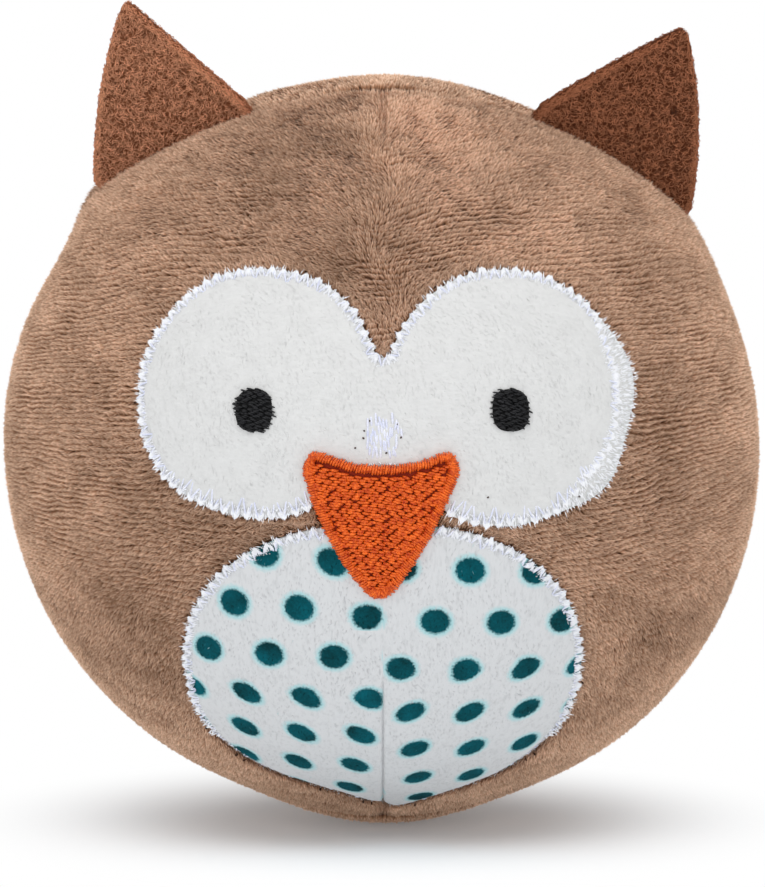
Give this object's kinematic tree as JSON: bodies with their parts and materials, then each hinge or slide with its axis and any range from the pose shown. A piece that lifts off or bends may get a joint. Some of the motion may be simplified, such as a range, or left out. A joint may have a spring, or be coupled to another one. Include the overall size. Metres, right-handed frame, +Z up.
{
  "type": "plush ball dog toy",
  "caption": "Stuffed plush ball with an owl face, felt ears and a squeaker inside, a soft toy for dogs.",
  "frame": {"origin": "on the surface that the ball rests on, under the ball's centre", "axes": "+Z up, face towards -Y, +X towards the viewer's right"},
  "size_m": [0.1, 0.1009, 0.1091],
  "materials": {
    "brown_plush": "matte",
    "white_plush": "matte",
    "dotted_cloth": "matte",
    "white_thread": "satin",
    "black_thread": "satin",
    "orange_thread": "satin",
    "brown_thread": "satin",
    "light_felt": "matte",
    "dark_felt": "matte",
    "stuffing_fibre": "matte",
    "backing_fleece": "matte",
    "clear_plastic": "satin",
    "hard_plastic": "gloss"
  },
  "bodies": {
    "ball": {"front_panel": "brown_plush", "back_panel": "brown_plush", "side_seam_thread": "brown_thread", "face_mask": "white_plush", "face_mask_stitching": "white_thread", "mask_bridge_stitching": "white_thread", "belly_patch": "dotted_cloth", "belly_patch_stitching": "white_thread", "left_pupil_embroidery": "black_thread", "right_pupil_embroidery": "black_thread", "beak_fill_embroidery": "orange_thread", "beak_border_embroidery": "orange_thread", "embroidery_backing": "backing_fleece", "front_stuffing": "stuffing_fibre", "back_stuffing": "stuffing_fibre", "squeaker_bulb": "clear_plastic", "squeaker_whistle_body": "hard_plastic", "squeaker_reed_plate": "hard_plastic"},
    "left_ear": {"left_ear": "light_felt"},
    "right_ear": {"right_ear": "dark_felt"},
    "squeaker_reed": {"squeaker_reed": "clear_plastic"}
  },
  "joints": [
    {"name": "left_ear_flop", "type": "hinge", "parent": "ball", "child": "left_ear", "pos_m": [-0.02814, -0.00752, 0.09028], "axis": [-0.8142, 0.2758, -0.5109], "range_deg": [-45, 45], "stiffness_Nm_per_rad": 0.001},
    {"name": "right_ear_flop", "type": "hinge", "parent": "ball", "child": "right_ear", "pos_m": [0.03168, -0.0063, 0.0878], "axis": [0.7605, 0.289, -0.5815], "range_deg": [-45, 45], "stiffness_Nm_per_rad": 0.001},
    {"name": "reed_flutter", "type": "hinge", "parent": "ball", "child": "squeaker_reed", "pos_m": [0, 0.0125, 0.04995], "axis": [1, 0, 0], "range_deg": [-1.5, 1.5], "stiffness_Nm_per_rad": 0.0005}
  ]
}
